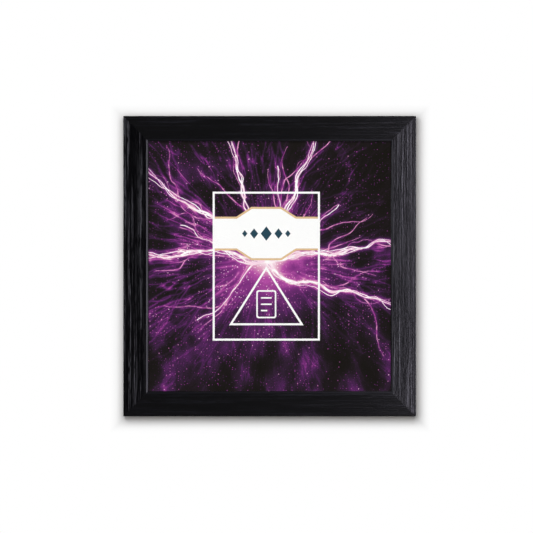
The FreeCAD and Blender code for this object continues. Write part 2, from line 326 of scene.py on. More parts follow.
def bare_wood(finish):
    """1 on the back of the moulding and in its rebate, 0 on its painted faces."""
    normal_y = finish.parts(finish.node("ShaderNodeNewGeometry").out("Normal"))[1]
    x, y, z = finish.parts(finish.place())
    half_x = insert_high.x + 2 * REBATE_MARGIN
    half_z = insert_high.z - middle_z + 2 * REBATE_MARGIN
    beside = finish.fade(abs(x), half_x + REBATE_MARGIN, half_x)
    above = finish.fade(abs(z - middle_z), half_z + REBATE_MARGIN, half_z)
    behind = finish.fade(y, glazing_low.y - REBATE_MARGIN, glazing_low.y - REBATE_MARGIN / 2)
    back = finish.fade(normal_y, *LOOKS_BACK)
    return (beside * above * behind).greater(back)


def mitre_joint(finish):
    """1 on the hair-thin joint at each corner, 0 elsewhere."""
    x, y, z = finish.parts(finish.place())
    from_corner = abs(x) - abs(z - middle_z) - (frame_width - frame_height) / 2
    return finish.fade(abs(from_corner), JOINT_WIDTH, JOINT_WIDTH * JOINT_CORE)


def rail_edges(finish):
    """Three masks: the slope by the glazing, where a highlight is painted, its dull nose and the outer arris.
    """
    x, y, z = finish.parts(finish.place())
    beside = abs(x) + left_high.x
    above = abs(z - middle_z) - (top_low.z - middle_z)
    away = beside.greater(above)
    nose = finish.fade(away, NOSE_FROM, NOSE_TO)
    arris = finish.fade(away, rail_width - ARRIS_FROM, rail_width - ARRIS_TO)
    return finish.fade(away, SLOPE_FROM, SLOPE_TO) * (1 - nose), nose, arris


def flat_side(finish):
    """1 on the flat sides of the moulding, which look along X or Z, 0 on its front and its slopes."""
    across, back, up = finish.parts(finish.node("ShaderNodeNewGeometry").out("Normal"))
    return finish.fade(abs(across).greater(abs(up)), *LOOKS_ASIDE)


print("masks for bare wood, mitres, the rails' edges and the flat sides")

# %% [markdown]
# One function now makes the whole moulding, once with its grain upright and once level. The upright rails
# catch more light on their streaks, and their copy has that light painted in: its streaks are a lighter grey
# and its ground darker than on the level rails, a painted sheen on one and the same paint. Where a mask says
# that the polish is gone, the paint is duller. On bare wood, fine fibres take over both the colour and the
# bump.

# %% Moulding finish
RAILS = {"upright": ("rail_left", "rail_right"), "level": ("rail_top", "rail_bottom")}
# One paint for both pairs, coloured by how light falls on each: the upright rails' lighter streaks are painted
# sheen.
UPRIGHT_PAINT_AS_LIT = colour(2, 2, 3), colour(62, 62, 67)
LEVEL_PAINT_AS_LIT = colour(12, 12, 13), colour(26, 26, 31)
# How much lighter the slope next to the glazing is painted, a painted highlight, and how much grain shows in
# it.
SLOPE_HIGHLIGHT_TONE, SLOPE_HIGHLIGHT_STREAKS = 0.6, 0.3
PAINT_GLOSS = 0.25
PAINT_ROUGHNESS, STREAK_ROUGHNESS, SLOPE_ROUGHNESS = 0.39, 0.09, 0.14
SIDE_ROUGHNESS, EDGE_ROUGHNESS, BARE_ROUGHNESS = 0.4, 0.5, 0.4
GRAIN_DEPTH = 0.16 * MM
STREAK_HEIGHT, PORE_HEIGHT, JOINT_HEIGHT, FIBRE_HEIGHT = 0.55, 0.24, -0.5, 0.5
FIBRE_DARK, FIBRE_LIGHT = colour(118, 90, 62), colour(176, 144, 107)
FIBRE_SIZE, CLOUD_SIZE, CLOUD_SHARE = 0.4 * MM, 6 * MM, 0.4


def moulding_finish(name, upright):
    finish = Finish(name)
    streak, pore = grain(finish, upright)
    bare, joint, (wear_and_painted_highlight, nose, arris) = bare_wood(finish), mitre_joint(finish), rail_edges(finish)
    dull = flat_side(finish) * SIDE_ROUGHNESS + (nose + arris) * EDGE_ROUGHNESS
    fibres = finish.noise(finish.mapped(), FIBRE_SIZE, detail=4.0, roughness=0.7)
    clouds = finish.noise(finish.mapped(), CLOUD_SIZE, detail=2.0)
    # Each pair's own copy of the paint colours, with its painted sheen.
    dark, light = UPRIGHT_PAINT_AS_LIT if upright else LEVEL_PAINT_AS_LIT
    thin_paint_and_highlight = streak * (1 - pore) * (1 - wear_and_painted_highlight)
    # Painted highlight: the slope next to the glazing is made lighter, standing in for the light that it
    # catches.
    thin_paint_and_highlight = thin_paint_and_highlight + wear_and_painted_highlight * (SLOPE_HIGHLIGHT_TONE + streak * SLOPE_HIGHLIGHT_STREAKS)
    paint = finish.mix(thin_paint_and_highlight * (1 - joint), dark, light)
    fibre = finish.mix(fibres * (1 - CLOUD_SHARE) + clouds * CLOUD_SHARE, FIBRE_DARK, FIBRE_LIGHT)
    height = streak * STREAK_HEIGHT + (1 - pore) * PORE_HEIGHT + joint * JOINT_HEIGHT
    rough = PAINT_ROUGHNESS + streak * STREAK_ROUGHNESS + wear_and_painted_highlight * SLOPE_ROUGHNESS
    return finish.surface(
        Base_Color=finish.mix(bare, paint, fibre),
        Roughness=rough + dull.greater(bare * BARE_ROUGHNESS),
        Specular_IOR_Level=PAINT_GLOSS,
        Normal=finish.bump(height * (1 - bare) + fibres * bare * FIBRE_HEIGHT, GRAIN_DEPTH),
    )


dress(RAILS["upright"], moulding_finish("black_wood_upright_painted_light", True))
dress(RAILS["level"], moulding_finish("black_wood_level_painted_light", False))
print("four rails of black grained wood")

# %% [markdown]
# The printed picture is a generic one: jagged flashes fan out from a glow over dark haze and small stars. It
# needs routes first. A route is a walk of even steps, and at each step its heading swings to one side or the
# other by an amount that looks like chance but comes from a formula, so every run gives the same picture.

# %% Routes of the flashes
GLOW_HEIGHT = 3.0 * MM
LONG, SHORT, BRANCH = 1.0, 0.6, 0.4
FLASH_HEADINGS = {
    -24: LONG, -2: SHORT, 22: LONG, 44: SHORT, 67: LONG, 90: SHORT,
    112: LONG, 137: LONG, 160: SHORT, 180: LONG, 204: SHORT,
}
FLASH_LENGTHS = {LONG: 112.0 * MM, SHORT: 60.0 * MM}
FLASH_PLAY, FLASH_PLAY_SEED = 6.0, 0.5
FLASH_STEP, FLASH_SWING = 7.5 * MM, 34.0
FLASH_SEED, FLASH_SEED_STEP = 7, 31
BRANCH_SHARES, BRANCH_SEED_STEP = (0.3, 0.55), 90
BRANCH_TURN, BRANCH_LENGTH = 30.0, 40.0 * MM
BRANCH_FIRST_POINT = 2
PULSE_TURN, PULSE_SPREAD = 12.9898, 43758.5453

glow = Vector((card_x, card_z + GLOW_HEIGHT))


def pulse(seed):
    """A value from -1 to 1 that looks like chance and is the same each time."""
    return 2.0 * ((math.sin(seed * PULSE_TURN) * PULSE_SPREAD) % 1.0) - 1.0


def walk(start, angle, length, seed, step=FLASH_STEP, swing=FLASH_SWING):
    """A route of even steps whose heading swings from side to side."""
    points = [start]
    for i in range(round(length / step)):
        heading = angle + math.radians(swing) * pulse(seed + i)
        points.append(points[-1] + step * Vector((math.cos(heading), math.sin(heading))))
    return points


def flashes():
    """Each flash and each branch: its points, its strength and its seed."""
    routes = []
    for number, (heading, strength) in enumerate(FLASH_HEADINGS.items()):
        angle = math.radians(heading + FLASH_PLAY * pulse(number + FLASH_PLAY_SEED))
        seed = FLASH_SEED + FLASH_SEED_STEP * number
        main = walk(glow, angle, FLASH_LENGTHS[strength], seed)
        routes.append((main, strength, seed))
        for share, side in zip(BRANCH_SHARES, (1, -1)):
            fork = main[max(BRANCH_FIRST_POINT, round(len(main) * share))]
            turned = angle + side * math.radians(BRANCH_TURN)
            own_seed = seed + BRANCH_SEED_STEP * share
            routes.append((walk(fork, turned, BRANCH_LENGTH, own_seed), BRANCH, own_seed))
    return routes


main_routes = flashes()
print(f"{len(main_routes)} flashes and branches")

# %% [markdown]
# Each flash is a bundle of strands that cross, part and meet again. A strand is the flash's own route in
# short steps. A slow drift to the side, of another size for each strand, parts them, and a quick shake makes
# them jagged. Cutting the corners of a route makes it smooth, which is Chaikin's old trick.

# %% Strands of the flashes
CORNER_CUT = 0.25
ROUTE_SMOOTHING, STRAND_SMOOTHING = 3, 2
STRAND_STEP = 2.6 * MM
DRIFT_WAVE = 9.0 * MM
SHAKE, SHAKE_SEED_STEP = 0.42 * MM, 7.7
STRAND_DRIFTS = (0.5 * MM, 1.9 * MM, 3.0 * MM, 4.2 * MM)
STRAND_HALF_WIDTHS = (0.6 * MM, 0.42 * MM, 0.28 * MM, 0.17 * MM)
STRAND_HEATS = (1.0, 0.8, 0.62, 0.5)
STRAND_COUNTS = {LONG: 4, SHORT: 2, BRANCH: 1}
STRAND_SEED_STEP = 2.3
LEAST_WIDTH, TIP_WIDTH = 0.35, 0.4


def smooth(points, rounds):
    """Cuts each corner of a route, again and again."""
    for _ in range(rounds):
        cut = [points[0]]
        for a, b in zip(points, points[1:]):
            cut += [a.lerp(b, CORNER_CUT), b.lerp(a, CORNER_CUT)]
        points = cut + [points[-1]]
    return points


def drift(run, seed):
    """A value between -1 and 1 that changes slowly along a run."""
    knot, share = divmod(run / DRIFT_WAVE, 1.0)
    ease = share * share * (3 - 2 * share)
    return pulse(seed + knot) * (1 - ease) + pulse(seed + knot + 1) * ease


def loosened(points, amount, seed):
    """A strand of a flash: its route in short steps, each moved to the side."""
    line, run, passed = [points[0]], 0.0, 0.0
    for a, b in zip(points, points[1:]):
        run += (b - a).length
        if run - passed >= STRAND_STEP:
            passed = run
            side = Vector((a.y - b.y, b.x - a.x)).normalized()
            push = amount * drift(run, seed) * min(1.0, run / DRIFT_WAVE)
            line.append(b + side * (push + SHAKE * pulse(seed + SHAKE_SEED_STEP * len(line))))
    return smooth(line, STRAND_SMOOTHING)


def strands_of(routes):
    """The strands of every flash: points, half a width at the root and at the tip, and strength."""
    strands = []
    for points, strength, seed in routes:
        line = smooth(points, ROUTE_SMOOTHING)
        for number in range(STRAND_COUNTS[strength]):
            root = STRAND_HALF_WIDTHS[number] * (LEAST_WIDTH + (1 - LEAST_WIDTH) * strength)
            heat = strength * STRAND_HEATS[number]
            own = loosened(line, STRAND_DRIFTS[number], seed + STRAND_SEED_STEP * number)
            strands.append((own, root, root * TIP_WIDTH, heat))
    return strands


strands = strands_of(main_routes)
print(f"{len(strands)} strands with {sum(len(points) for points, *_ in strands)} points")

# %% [markdown]
# A curve with a bevel turns each strand into a thin tube, and the radius of its points narrows it to the tip.
# As a mesh, the tubes are closed at their ends, pressed flat and cut off at the edges of the paper, and so
# they become ink. Each strand lies a hair in front of the one before it, or the two would shade each other
# where they cross. Bisecting a mesh leaves a hole along the cut, which is filled again to keep every ribbon
# closed.

# %% Ribbons of light ink
INK_BACK, INK_FRONT = insert_low.y - 0.064 * MM, insert_low.y - 0.086 * MM
RIBBON_FLATNESS = 0.012
TUBE_ROUNDNESS = 1
WIDTH_CHANGE, WIDTH_WAVE, WIDTH_SEED_STEP = 0.65, 0.25, 50
HOT_ABOVE = 0.56


def ribbons(name, chosen, back, front):
    """One flat piece of the chosen strands, between two depths and inside the edges of the insert."""
    data = bpy.data.curves.new(name, "CURVE")
    data.dimensions = "3D"
    data.bevel_depth = 1.0
    data.bevel_resolution = TUBE_ROUNDNESS
    for number, (points, root, tip, heat) in enumerate(chosen):
        depth = back + (front - back) * number / len(chosen)
        line = data.splines.new("POLY")
        line.points.add(len(points) - 1)
        for i, (point, knot) in enumerate(zip(points, line.points)):
            knot.co = (point.x, depth / RIBBON_FLATNESS, point.y, 1)
            swell = 1 + WIDTH_CHANGE * drift(i * STRAND_STEP * WIDTH_WAVE, WIDTH_SEED_STEP * heat)
            knot.radius = swell * (root + (tip - root) * i / (len(points) - 1))
    curve = bpy.data.objects.new(name, data)
    mesh = bpy.data.meshes.new_from_object(curve)
    bpy.data.objects.remove(curve)
    bm = bmesh.new()
    bm.from_mesh(mesh)
    bmesh.ops.holes_fill(bm, edges=[e for e in bm.edges if e.is_boundary], sides=0)
    bmesh.ops.scale(bm, vec=(1, RIBBON_FLATNESS, 1), verts=bm.verts)
    for edge, outwards in ((insert_low, -1), (insert_high, 1)):
        for way in (Vector((outwards, 0, 0)), Vector((0, 0, outwards))):
            everything = bm.verts[:] + bm.edges[:] + bm.faces[:]
            cut = bmesh.ops.bisect_plane(
                bm, geom=everything, plane_co=edge, plane_no=way, clear_outer=True
            )
            open_edges = [e for e in cut["geom_cut"] if isinstance(e, bmesh.types.BMEdge)]
            bmesh.ops.holes_fill(bm, edges=open_edges, sides=0)
    bmesh.ops.recalc_face_normals(bm, faces=bm.faces)
    bm.to_mesh(mesh)
    bm.free()
    mesh.shade_flat()
    return bpy.data.objects.new(name, mesh)


def add(piece, *replaced, slot):
    """Puts a finished piece in the scene, on the frame's one body, in place of the named nodes."""
    bpy.context.scene.collection.objects.link(piece)
    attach(piece, "root")
    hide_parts(*replaced)
    print(f"{piece.name}: {len(piece.data.polygons)} faces")


ink_middle = (INK_BACK + INK_FRONT) / 2
mild = ribbons("lightning_branches", [s for s in strands if s[3] <= HOT_ABOVE], INK_BACK, ink_middle)
hot = ribbons("lightning_trunks", [s for s in strands if s[3] > HOT_ABOVE], ink_middle, INK_FRONT)
add(hot, "print_lightning", slot="lilac_ink")
add(mild, "print_lightning", slot="lilac_ink")

# %% [markdown]
# Round the flashes the paper glows, and fine threads of light fill the space between them. A fine sheet of
# points can hold that as numbers: each point is told how near it is to a strand. Stamping does it fast. Every
# point of every strand adds its small round glow to a grid of numbers, and the grid keeps the brightest at
# each place.

# %% Threads between the flashes
THREAD_COUNT = 150
THREAD_FROM, THREAD_SECTOR, THREAD_PLAY = -50.0, 280.0, 0.4
THREAD_REACH, THREAD_MORE_REACH = 16.0 * MM, 50.0 * MM
THREAD_CURLS, THREAD_CURL_START, THREAD_CURL, THREAD_LEAN = 4, 1, 0.3, 26.0
THREAD_LENGTH, THREAD_MORE_LENGTH = 34.0 * MM, 18.0 * MM
THREAD_STEP, THREAD_SWING, THREAD_SMOOTHING = 4.0 * MM, 20.0, 2
THREAD_ROOT, THREAD_TIP = 0.08 * MM, 0.02 * MM
LEAST_HEAT, THREAD_HEAT, HEAT_DRIFT, HEAT_PLAY = 0.08, 0.26, 0.3, 0.14
HEAT_WAVE, HEAT_SEED = 0.8 * MM, 4.0
THREAD_SEEDS = {"turn": (1.0, 0.3), "reach": (1.7, 0), "lean": (2.9, 5), "length": (3.1, 0), "heat": (4.7, 0)}
THREAD_WALK_SEED, THREAD_WALK_SEED_STEP = 3, 13


def of_thread(number, quality):
    """The chance value from -1 to 1 of one quality of one thread."""
    step, start = THREAD_SEEDS[quality]
    return pulse(start + step * number)


def thread(number):
    """A short faint walk, which sets out near the glow and leans away from it."""
    place = (number + THREAD_PLAY * of_thread(number, "turn")) / THREAD_COUNT
    turn = math.radians(THREAD_FROM + THREAD_SECTOR * place)
    reach = THREAD_REACH + THREAD_MORE_REACH * abs(of_thread(number, "reach"))
    start = glow + reach * Vector((math.cos(turn), math.sin(turn)))
    curl = THREAD_CURL * math.sin(THREAD_CURLS * turn + THREAD_CURL_START)
    lean = turn + curl + math.radians(THREAD_LEAN) * of_thread(number, "lean")
    length = THREAD_LENGTH + THREAD_MORE_LENGTH * of_thread(number, "length")
    seed = THREAD_WALK_SEED + THREAD_WALK_SEED_STEP * number
    line = smooth(walk(start, lean, length, seed, THREAD_STEP, THREAD_SWING), THREAD_SMOOTHING)
    heat = THREAD_HEAT + HEAT_DRIFT * drift(number * HEAT_WAVE, HEAT_SEED)
    return line, THREAD_ROOT, THREAD_TIP, max(LEAST_HEAT, heat + HEAT_PLAY * of_thread(number, "heat"))


threads = [thread(number) for number in range(THREAD_COUNT)]
print(f"{len(threads)} threads")

# %% [markdown]
# The stamps go onto a grid with one number for each corner of the sheet's cells. Four such grids are made:
# the wide halo and the hot rim of the flashes, and the line and the faint halo of the threads. Each has its
# own fall, the distance over which it fades, its reach, past which it is cut off, and its sharpness.

# %% Stamped glow
CELL = 0.55 * MM

columns = round((insert_high.x - insert_low.x) / CELL)
rows = round((insert_high.z - insert_low.z) / CELL)
grid_x = np.linspace(insert_low.x, insert_high.x, columns + 1)
grid_z = np.linspace(insert_low.z, insert_high.z, rows + 1)


def stamped(lines, fall, reach, sharpness):
    """A grid of glow round the lines, which falls off over the given distance."""
    glows = np.zeros((rows + 1, columns + 1))
    for points, root, tip, heat in lines:
        for i, point in enumerate(points):
            low_x, high_x = np.searchsorted(grid_x, (point.x - reach, point.x + reach))
            low_z, high_z = np.searchsorted(grid_z, (point.y - reach, point.y + reach))
            if low_x == high_x or low_z == high_z:
                continue
            window = (slice(low_z, high_z), slice(low_x, high_x))
            apart = np.hypot(grid_x[window[1]] - point.x, grid_z[window[0], None] - point.y)
            half = root + (tip - root) * i / (len(points) - 1)
            away = np.maximum(apart - half, 0) / fall
            glows[window] = np.maximum(glows[window], heat * np.exp(-(away**sharpness)))
    return glows


def dense(lines, gap):
    """The same lines with more points, none further apart than the gap."""
    found = []
    for points, *rest in lines:
        fine = []
        for a, b in zip(points, points[1:]):
            count = max(1, math.ceil((b - a).length / gap))
            fine += [a.lerp(b, i / count) for i in range(count)]
        found.append((fine + [points[-1]], *rest))
    return found


glow_grids = {
    "halo": stamped(strands, fall=2.4 * MM, reach=10 * MM, sharpness=1.0),
    "rim": stamped(dense(strands, CELL), fall=0.4 * MM, reach=1.8 * MM, sharpness=1.2),
    "thread": stamped(dense(threads, CELL / 2), fall=0.38 * MM, reach=1.6 * MM, sharpness=1.5),
    "thread_halo": stamped(threads, fall=1.8 * MM, reach=6 * MM, sharpness=1.0),
}
print(f"{len(glow_grids)} grids of {columns} x {rows} cells")

# %% [markdown]
# The sheet itself is a grid that faces the front. Its edge is drawn back to the paper and closed, so it is a
# thin solid. The numbers go on its points as attributes, where the shader can read them.

# %% Artwork sheet
SHEET_RISE = 0.06 * MM


def artwork_sheet():
    """A fine grid just in front of the insert, closed at its edge and back."""
    size = insert_high - insert_low
    middle = (insert_low + insert_high) / 2
    middle.y = insert_low.y - SHEET_RISE
    bm = bmesh.new()
    front_grid(bm, middle, size.x, size.z, columns, rows)
    rim_edges = [e for e in bm.edges if e.is_boundary]
    drawn = bmesh.ops.extrude_edge_only(bm, edges=rim_edges)["geom"]
    bmesh.ops.translate(
        bm, vec=(0, SHEET_RISE, 0), verts=[v for v in drawn if isinstance(v, bmesh.types.BMVert)]
    )
    bmesh.ops.holes_fill(bm, edges=[e for e in bm.edges if e.is_boundary], sides=0)
    bmesh.ops.recalc_face_normals(bm, faces=bm.faces)
    return piece_from(bm, "artwork_sheet")


sheet = artwork_sheet()
places = np.empty(len(sheet.data.vertices) * 3)
sheet.data.vertices.foreach_get("co", places)
at_column = np.rint((places[0::3] - insert_low.x) / (grid_x[1] - grid_x[0])).astype(int)
at_row = np.rint((places[2::3] - insert_low.z) / (grid_z[1] - grid_z[0])).astype(int)
for name, glows in glow_grids.items():
    values = sheet.data.attributes.new(name, "FLOAT", "POINT")
    values.data.foreach_set("value", glows[at_row, at_column].astype(np.float32))
add(sheet, "print_haze", slot="violet_ink")

# %% [markdown]
# The print is full of filaments and small stars, far too many to model. Textures draw both. Wisps are the
# lines along which a noise crosses its middle value, on coordinates that turn with the direction from the
# glow, so they stream away from it. Sparks are points of a Voronoi texture: chance lights up some of its
# cells.

# %% Wisps and sparks
WISP_SIZE, WISP_FAN, WISP_CURL = 0.16, 1.6, 5.0
WISP_LINE = 0.04, 0.004
STAR_CORE = 1 / 4


def wisps(finish, x, z, radius):
    """Fine curved filaments that stream away from the glow."""
    way = {"X": x / radius * WISP_FAN, "Y": z / radius * WISP_FAN, "Z": radius * WISP_CURL}
    outward = finish.node("ShaderNodeCombineXYZ", {}, way)
    waves = finish.noise(outward, WISP_SIZE, detail=2.5, roughness=0.55, distortion=0.3)
    return finish.fade(abs(waves - 0.5), *WISP_LINE)


def sparks(finish, cell, share, size):
    """Small round stars: one in a share of the cells, of uneven brightness."""
    x, y, z = finish.parts(finish.place())
    flat = finish.node("ShaderNodeCombineXYZ", {}, {"X": x, "Y": z})
    settings = {"feature": "F1", "voronoi_dimensions": "2D"}
    stars = finish.node("ShaderNodeTexVoronoi", settings, {"Vector": flat, "Scale": 1 / cell})
    lit = finish.fade(finish.parts(stars.out("Color"))[0], 1 - share, 1.0)
    return finish.fade(stars.out("Distance"), size, size * STAR_CORE) * lit


print("helpers for wisps and sparks")

# %% [markdown]
# Behind them lies the sky. Above, its haze is broad soft clouds. Below, it rises in columns, which are a
# noise drawn out upwards. Dust is finer and denser than the stars, and comes in patches.

# %% Haze and stars
HAZE_SIZE, HAZE_EDGE, HAZE_LOST_BELOW = 34 * MM, (0.42, 0.74), 0.6
COLUMN_SIZE, COLUMN_EDGE, COLUMN_LEVEL = 17 * MM, (0.34, 0.9), 1.9
COLUMN_STRETCH, COLUMN_SHIFT = (1, 1, 0.55), (0.05, 0, 0.02)
DUST_PATCH, DUST_EDGE = 22 * MM, (0.35, 0.6)
DUST_CELL, DUST_SHARE, DUST_SIZE = 1.7 * MM, 0.65, 0.22
DUST_LEAST, DUST_MORE = 0.15, 0.45
STAR_CELL, STAR_SHARE, STAR_SIZE, STAR_LEVEL = 6.0 * MM, 0.8, 0.07, 0.85


def haze(finish, low):
    """Clouds that give way to columns where the print is low."""
    clouds = finish.noise(finish.mapped(), HAZE_SIZE, detail=4.0, roughness=0.55, distortion=0.8)
    rising = finish.noise(finish.mapped(COLUMN_STRETCH, COLUMN_SHIFT), COLUMN_SIZE)
    above = finish.fade(clouds, *HAZE_EDGE) * (1 - low * HAZE_LOST_BELOW)
    return above + finish.fade(rising, *COLUMN_EDGE) * low * COLUMN_LEVEL


def stars_and_dust(finish):
    patches = finish.fade(finish.noise(finish.mapped(), DUST_PATCH), *DUST_EDGE)
    dust = sparks(finish, DUST_CELL, DUST_SHARE, DUST_SIZE) * (DUST_LEAST + DUST_MORE * patches)
    stars = sparks(finish, STAR_CELL, STAR_SHARE, STAR_SIZE) * STAR_LEVEL
    return stars.greater(dust)


print("helpers for the sky")

# %% [markdown]
# One ramp holds all the colours of the print, from an almost black ground through purple and magenta to white
# heat. The shader only says how bright each place is: the glow with its hot core, haze, halos, rims, threads
# and stars are added up, each with a level of its own, and the ramp turns the sum into ink. So every part of
# the print belongs to one family of colours, and the levels are the only thing to tune.

# %% Artwork finish
INK_STOPS = [
    (0.0, colour(25, 24, 19)),
    (0.12, colour(34, 28, 31)),
    (0.22, colour(51, 34, 53)),
    (0.36, colour(83, 40, 91)),
    (0.52, colour(128, 52, 128)),
    (0.68, colour(184, 82, 166)),
    (0.82, colour(222, 160, 190)),
    (1.0, colour(255, 244, 246)),
]
INK_GLOSS, INK_ROUGHNESS = 0.1, 0.6
TOOTH_SIZE, TOOTH_DEPTH = 0.3 * MM, 0.004 * MM
LOW_PART, HIGH_PART = (-12 * MM, -50 * MM), (0.0, 22 * MM)
MIDDLE_BLUR = 2 * MM
GLOW_EDGE, GLOW_LEVEL, GLOW_LOST_ABOVE = (54 * MM, -6 * MM), 0.66, 0.7
CORE_EDGE, CORE_LEVEL = (17 * MM, 0.0), 0.26
GROUND_LEVEL, HAZE_LEVEL = 0.025, 0.26
HALO_LEVEL, RIM_LEVEL, EDGES_LOST_IN_GLOW, EDGES_LOST_ABOVE = 0.32, 0.34, 0.9, 0.22
THREAD_LEVEL, THREAD_HALO_LEVEL = 0.5, 0.12
THREADS_LOST_IN_GLOW, THREADS_LOST_ABOVE, THREADS_LOST_BELOW = 0.75, 0.3, 0.45
WISP_EDGE, WISP_LOST_BELOW = (14 * MM, 40 * MM), 0.7
WISP_LEVEL, WISP_IN_HAZE = 0.05, 0.3
SKY_LEVEL = 0.85
GRAIN_SIZE, GRAIN_LEVEL, GRAIN_OUTSIDE_HAZE = 0.55 * MM, 0.24, 0.25


def tooth(finish):
    """The fine tooth of the card under every ink."""
    return finish.noise(finish.mapped(), TOOTH_SIZE, detail=3.0)


def artwork_finish():
    finish = Finish("printed_artwork")
    mark = {
        name: finish.node("ShaderNodeAttribute", {"attribute_name": name}).out("Fac")
        for name in glow_grids
    }
    x, y, z = finish.parts(finish.place())
    x, z = x - glow.x, z - glow.y
    radius = (x * x + z * z + MIDDLE_BLUR**2) ** 0.5
    low, high = finish.fade(z, *LOW_PART), finish.fade(z, *HIGH_PART)

    near = finish.fade(radius, *GLOW_EDGE) * (1 - high * GLOW_LOST_ABOVE) * GLOW_LEVEL
    near = near + finish.fade(radius, *CORE_EDGE) * CORE_LEVEL
    cloud = haze(finish, low)
    edges = mark["halo"] * HALO_LEVEL + mark["rim"] * RIM_LEVEL
    edges = edges * (1 - near * EDGES_LOST_IN_GLOW) * (1 - high * EDGES_LOST_ABOVE)
    fine = mark["thread"] * THREAD_LEVEL * (1 - near * THREADS_LOST_IN_GLOW)
    fine = fine * (1 - high * THREADS_LOST_ABOVE - low * THREADS_LOST_BELOW)
    wisp = wisps(finish, x, z, radius) * finish.fade(radius, *WISP_EDGE) * (1 - low * WISP_LOST_BELOW)
    grainy = (finish.noise(finish.mapped(), GRAIN_SIZE) - 0.5) * GRAIN_LEVEL

    level = GROUND_LEVEL + near + cloud * HAZE_LEVEL + edges + fine
    level = level + mark["thread_halo"] * THREAD_HALO_LEVEL + wisp * (WISP_LEVEL + cloud * WISP_IN_HAZE)
    level = level + stars_and_dust(finish) * SKY_LEVEL + grainy * (GRAIN_OUTSIDE_HAZE + cloud)
    return finish.surface(
        Base_Color=finish.ramp(level, INK_STOPS),
        Roughness=INK_ROUGHNESS,
        Specular_IOR_Level=INK_GLOSS,
        Normal=finish.bump(tooth(finish), TOOTH_DEPTH),
    )


sheet.data.materials.append(artwork_finish())
print(f"dark print with {len(glow_grids)} grids of glow, haze and stars")

# %% [markdown]
# The ribbons are the hottest ink. Noise along them lets a trunk cool from white to pink here and there, and
# keeps the branches between pink and magenta.

# %% Hot ink
HEAT_SPOT, HEAT_EDGE = 5 * MM, (0.42, 0.58)


def hot_ink(name, cool, warm):
    """Bright ink that changes between two colours every few millimetres."""
    finish = Finish(name)
    change = finish.noise(finish.mapped(), HEAT_SPOT, detail=3.0)
    return finish.surface(
        Base_Color=finish.mix(finish.fade(change, *HEAT_EDGE), cool, warm),
        Roughness=INK_ROUGHNESS,
        Specular_IOR_Level=INK_GLOSS,
        Normal=finish.bump(tooth(finish), TOOTH_DEPTH),
    )


hot.data.materials.append(hot_ink("white_hot_ink", colour(249, 218, 232), colour(255, 252, 252)))
mild.data.materials.append(hot_ink("pink_hot_ink", colour(160, 66, 146), colour(226, 150, 196)))
print("two hot inks")

# %% [markdown]
# The lines, the band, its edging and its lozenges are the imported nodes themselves. Flat ink on card is never
# quite even: it has a little mottle, and the card's fine tooth shows through. One function gives that to
# every ink.

# %% Flat inks
MOTTLE_SIZE, MOTTLE_EDGE = 1.6 * MM, (0.3, 0.7)
TOOTH_ROUGHNESS = 0.12


def flat_ink(name, shade, variation):
    """An even ink with a slight mottle and the tooth of the card under it."""
    finish = Finish(name)
    mottle = finish.noise(finish.mapped(), MOTTLE_SIZE, detail=4.0, roughness=0.65)
    ridges = tooth(finish)
    darker = tuple(part * (1 - variation) for part in shade[:3]) + (1.0,)
    return finish.surface(
        Base_Color=finish.mix(finish.fade(mottle, *MOTTLE_EDGE), darker, shade),
        Roughness=INK_ROUGHNESS + (ridges - 0.5) * TOOTH_ROUGHNESS,
        Specular_IOR_Level=INK_GLOSS,
        Normal=finish.bump(ridges, TOOTH_DEPTH),
    )


white = flat_ink("white_ink", colour(252, 252, 251), variation=0.02)
dress(["print_white_lines", "print_label_band"], white)
dress(["print_label_edging"], flat_ink("gold_ink", colour(226, 194, 150), variation=0.1))
dress(["print_label_lozenges"], flat_ink("slate_ink", colour(45, 75, 90), variation=0.12))
dress(["printed_insert"], flat_ink("insert_card", colour(226, 222, 214), variation=0.06))
print("four flat inks and the card")

# %% [markdown]
# Glazing is two flat faces, and all it does to the view is to reflect a little more light towards grazing
# angles. A real glass shader would bend light twice and make noise, so the pane is a mix of clear and mirror
# by Fresnel. Only the face that a ray meets first may mirror: inside the pane, Fresnel would wrongly turn
# slanting rays back.

# %% Clear glazing
GLAZING_IOR = 1.45
GLAZING_CLEAR, GLAZING_MIRROR = colour(254, 254, 254), colour(255, 255, 255)
POLISH_ROUGHNESS = 0.03
SMEAR_SIZE, SMEAR_SHARE = 30 * MM, 0.16


def glazing_finish():
    finish = Finish("clear_glazing")
    smear = finish.noise(finish.mapped(), SMEAR_SIZE, detail=3.0)
    share = finish.node("ShaderNodeFresnel", {}, {"IOR": GLAZING_IOR})
    inside = finish.node("ShaderNodeNewGeometry").out("Backfacing")
    clear = finish.node("ShaderNodeBsdfTransparent", {}, {"Color": GLAZING_CLEAR})
    mirror = finish.node(
        "ShaderNodeBsdfGlossy", {}, {"Color": GLAZING_MIRROR, "Roughness": POLISH_ROUGHNESS}
    )
    amount = share * (1 + (smear - 0.5) * SMEAR_SHARE) * (1 - inside)
    return finish.finished(finish.node("ShaderNodeMixShader", {}, {0: amount, 1: clear, 2: mirror}))


dress(["glazing"], glazing_finish())
print("clear glazing")

# %% [markdown]
# The back is where the making shows. The back board is hardboard, pressed brown fibre with a fine mottle. The
# points, nails and pins are zinc-plated steel: metal with faint crystals in its colour and roughness.

